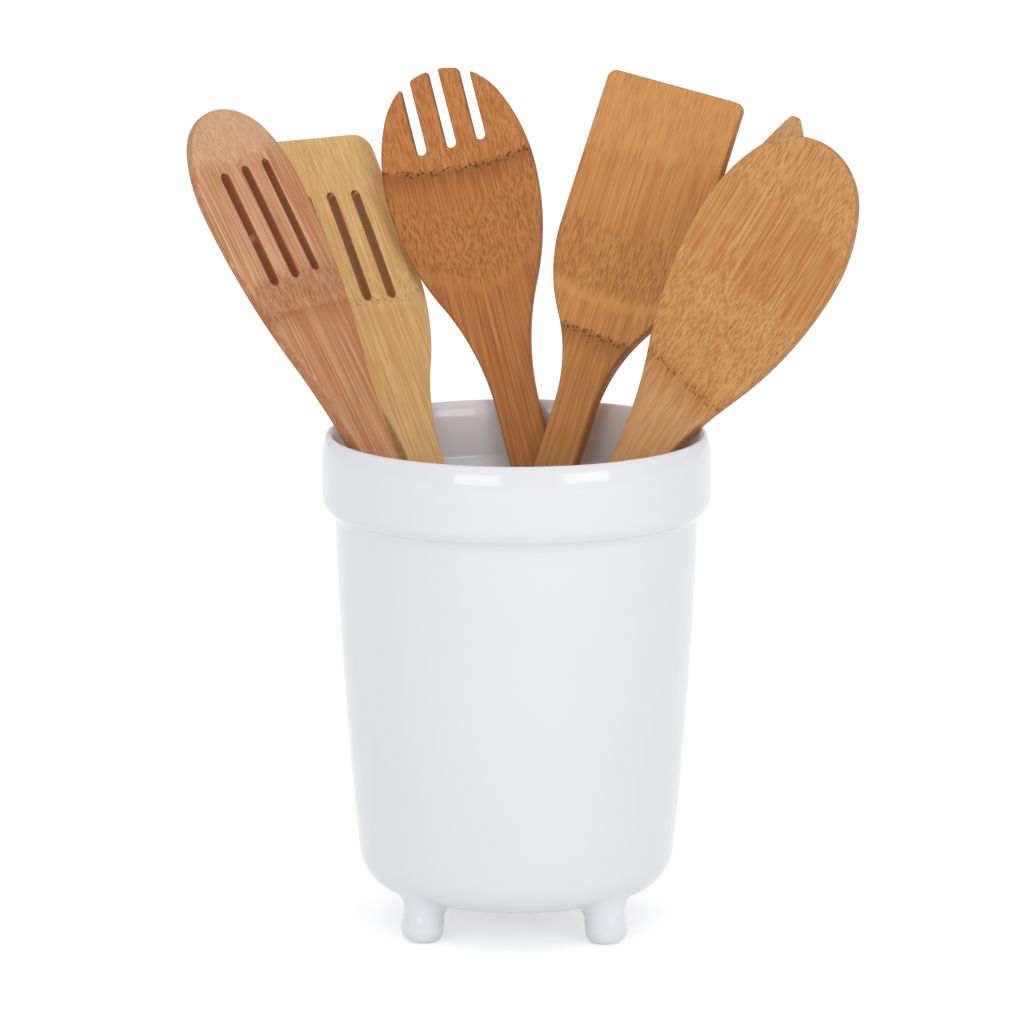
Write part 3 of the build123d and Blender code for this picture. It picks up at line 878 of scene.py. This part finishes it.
# Pointed spoon: a hollowed bamboo spoon whose sides are cut to meet in a blunt tip, which reaches into
# the corners of a pan. It stands at the back, with only its tip in view from the front.
tip_angle, tip_round = radians(38), 0.003
length = tool_length("pointed_spoon")
head_width, neck, widest = 0.057, length - 0.130, length - 0.052
head_drop, tip_drop = 0.0010, 0.0002
make_tool(
    "pointed_spoon",
    outline=spoon_outline(length, head_width, neck, widest, tip_angle, tip_round),
    neck=neck,
    middle=widest,
    drops=(head_drop, tip_drop),
    front_cut=scoop(length, head_drop, hollow_depth),
    finish=bamboo_finish(
        "pointed_spoon_bamboo",
        light=paint(232, 182, 124),
        dark=paint(212, 154, 96),
        speck_and_shade=paint(150, 94, 50),
        offset=67.9,
        zones=[dict(start=50.0, end=90.0, bulge=6.0, slope=0.15, marks=0.6, rim=0.2, lift=0.2)],
        node=dict(at=100.0, slope=0.0, bow=0.0, dots=0.6, shade=0.2, handle=0.05),
    ),
)

# The stage: a plain white floor that the pot stands on, two soft boxes in front, even light all round
# from a pale world, and the camera, a long lens that looks down on the pot a little.
floor_size = 12.0


def floor_finish():
    """White to the camera and in gloss, with the object's shadow kept, and pale to every other ray."""
    material = bpy.data.materials.new("floor")
    material.use_nodes = True
    tree = material.node_tree
    tree.nodes.remove(tree.nodes["Principled BSDF"])
    out = tree.nodes["Material Output"]
    rays = add(tree, "ShaderNodeLightPath")
    seen = sums(tree, "MAXIMUM", rays.outputs["Is Camera Ray"], rays.outputs["Is Glossy Ray"])
    seen = sums(tree, "MAXIMUM", seen, rays.outputs["Is Transmission Ray"])
    grey = add(tree, "ShaderNodeBsdfDiffuse", {"Color": (0.77, 0.77, 0.77, 1)})
    glow = add(tree, "ShaderNodeEmission", {"Color": (1, 1, 1, 1), "Strength": 0.475})
    both = add(tree, "ShaderNodeAddShader", {0: grey.outputs[0], 1: glow.outputs[0]})
    plain = add(tree, "ShaderNodeBsdfDiffuse", {"Color": (0.90, 0.90, 0.90, 1)})
    mix = add(tree, "ShaderNodeMixShader", {0: seen, 1: plain.outputs[0], 2: both.outputs[0]})
    tree.links.new(mix.outputs[0], out.inputs["Surface"])
    return material


floor_mesh = bpy.data.meshes.new("floor")
half = floor_size / 2
floor_corners = [(-half, -half, 0), (half, -half, 0), (half, half, 0), (-half, half, 0)]
floor_mesh.from_pydata(floor_corners, [], [(0, 1, 2, 3)])
floor_mesh.materials.append(floor_finish())
floor = bpy.data.objects.new("floor", floor_mesh)
bpy.context.scene.collection.objects.link(floor)

world = bpy.data.worlds.new("studio")
bpy.context.scene.world = world
world.use_nodes = True
sky = world.node_tree
rays = add(sky, "ShaderNodeLightPath")
seen = sums(sky, "MAXIMUM", rays.outputs["Is Camera Ray"], rays.outputs["Is Transmission Ray"])
around = add(sky, "ShaderNodeBackground", {"Color": (0.97, 0.98, 1.0, 1), "Strength": 0.78})
white = add(sky, "ShaderNodeBackground", {"Color": (1, 1, 1, 1), "Strength": 1.0})
mix = add(sky, "ShaderNodeMixShader", {0: seen, 1: around.outputs[0], 2: white.outputs[0]})
sky.links.new(mix.outputs[0], sky.nodes["World Output"].inputs["Surface"])

light_aim_height, light_distance = 0.12, 1.6


def soft_box(name, azimuth, elevation, width, height, power):
    """Soft box that looks at the middle of the object. Azimuth 0 is in front, positive to the right."""
    light = bpy.data.lights.new(name, "AREA")
    light.shape = "RECTANGLE"
    light.size, light.size_y, light.energy = width, height, power
    lamp = bpy.data.objects.new(name, light)
    bpy.context.scene.collection.objects.link(lamp)
    turn, rise = radians(azimuth), radians(elevation)
    way = Vector((sin(turn) * cos(rise), -cos(turn) * cos(rise), sin(rise)))
    lamp.location = way * light_distance + Vector((0, 0, light_aim_height))
    lamp.rotation_euler = way.to_track_quat("Z", "Y").to_euler()


soft_box("left_box", azimuth=-23, elevation=12, width=0.72, height=0.54, power=3.3)
soft_box("right_box", azimuth=41, elevation=13, width=0.75, height=0.54, power=3.6)

camera_distance, camera_side = 2.0, -0.00165
camera_dip, camera_aim_height = radians(11.24), 0.1504
camera_height = camera_aim_height + camera_distance * sin(camera_dip)
camera_data = bpy.data.cameras.new("camera")
camera_data.lens, camera_data.sensor_width = 195.62, 36.0
camera_data.clip_start, camera_data.clip_end = 0.1, 50.0
camera = bpy.data.objects.new("camera", camera_data)
camera.location = (camera_side, -camera_distance * cos(camera_dip), camera_height)
camera.rotation_euler = (pi / 2 - camera_dip, 0, 0)
bpy.context.scene.collection.objects.link(camera)
bpy.context.scene.camera = camera
bpy.context.scene.view_settings.view_transform = "Standard"
